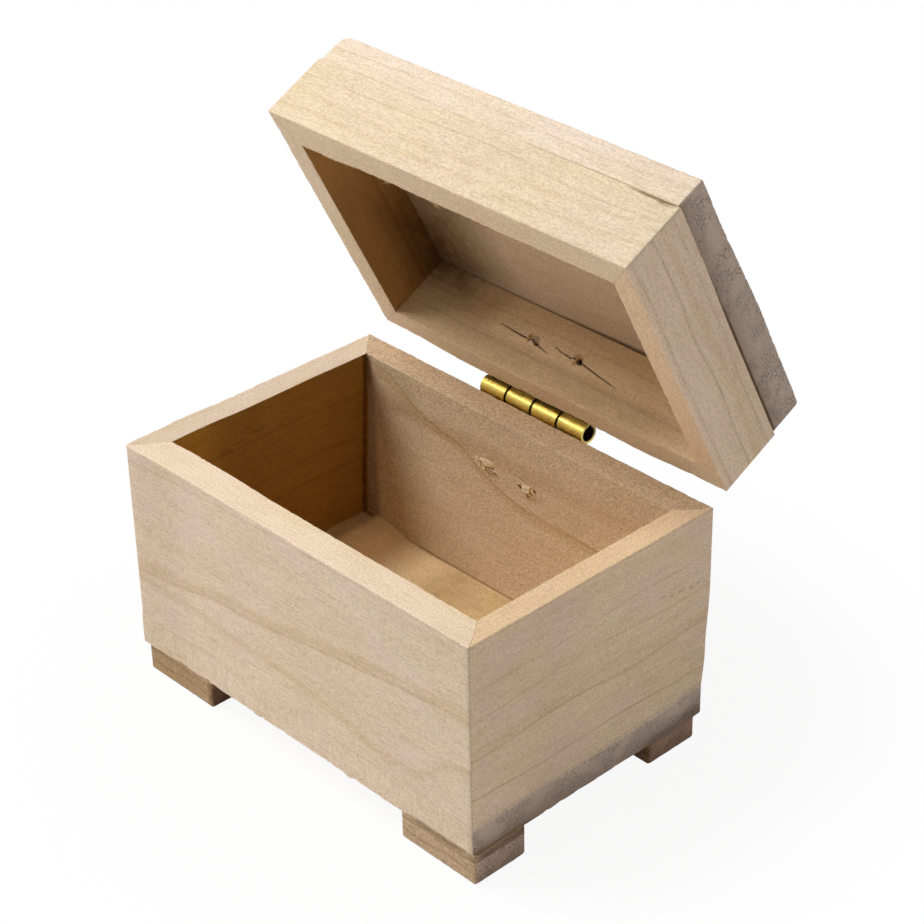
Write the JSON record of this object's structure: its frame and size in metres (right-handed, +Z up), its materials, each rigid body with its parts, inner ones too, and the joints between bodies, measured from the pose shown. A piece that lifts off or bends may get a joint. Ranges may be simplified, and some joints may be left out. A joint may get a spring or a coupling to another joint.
{
  "type": "small wooden chest with hinged lid",
  "caption": "Small unfinished wooden chest on block feet, made of mitred boards, with a flat-topped hinged lid held open by a rolled brass butt hinge at the back.",
  "frame": {"origin": "on the floor under the middle of the whole object's bounding box, lid open as in the picture", "axes": "+Z up, +Y from the front wall towards the hinge at the back, +X to the right when seen from the front"},
  "size_m": [0.0806, 0.0714, 0.1016],
  "materials": {
    "board_wood": "raw planed pale softwood, unfinished",
    "sawn_wood": "raw sawn edges, darker and rougher",
    "hinge_brass": "rolled thin brass sheet, lightly tarnished",
    "nail_metal": "brass-plated round-head nail",
    "pin_steel": "dull drawn wire"
  },
  "bodies": {
    "box": {"front_wall": "board_wood", "right_wall": "board_wood", "back_wall": "board_wood", "left_wall": "board_wood", "bottom_board": "sawn_wood", "front_left_foot": "sawn_wood", "front_right_foot": "sawn_wood", "rear_left_foot": "sawn_wood", "rear_right_foot": "sawn_wood", "box_hinge_leaf": "hinge_brass", "hinge_pin": "pin_steel", "box_nail_left": "nail_metal", "box_nail_right": "nail_metal"},
    "lid": {"lid_front_rail": "board_wood", "lid_right_rail": "board_wood", "lid_back_rail": "board_wood", "lid_left_rail": "board_wood", "lid_top_board": "board_wood", "lid_hinge_leaf": "hinge_brass", "lid_nail_left": "nail_metal", "lid_nail_right": "nail_metal"}
  },
  "joints": [
    {"name": "lid_hinge", "type": "hinge", "parent": "box", "child": "lid", "pos_m": [-0.00095, 0.01899, 0.0445], "axis": [-1, 0, 0], "range_deg": [-64.9, 115]}
  ]
}
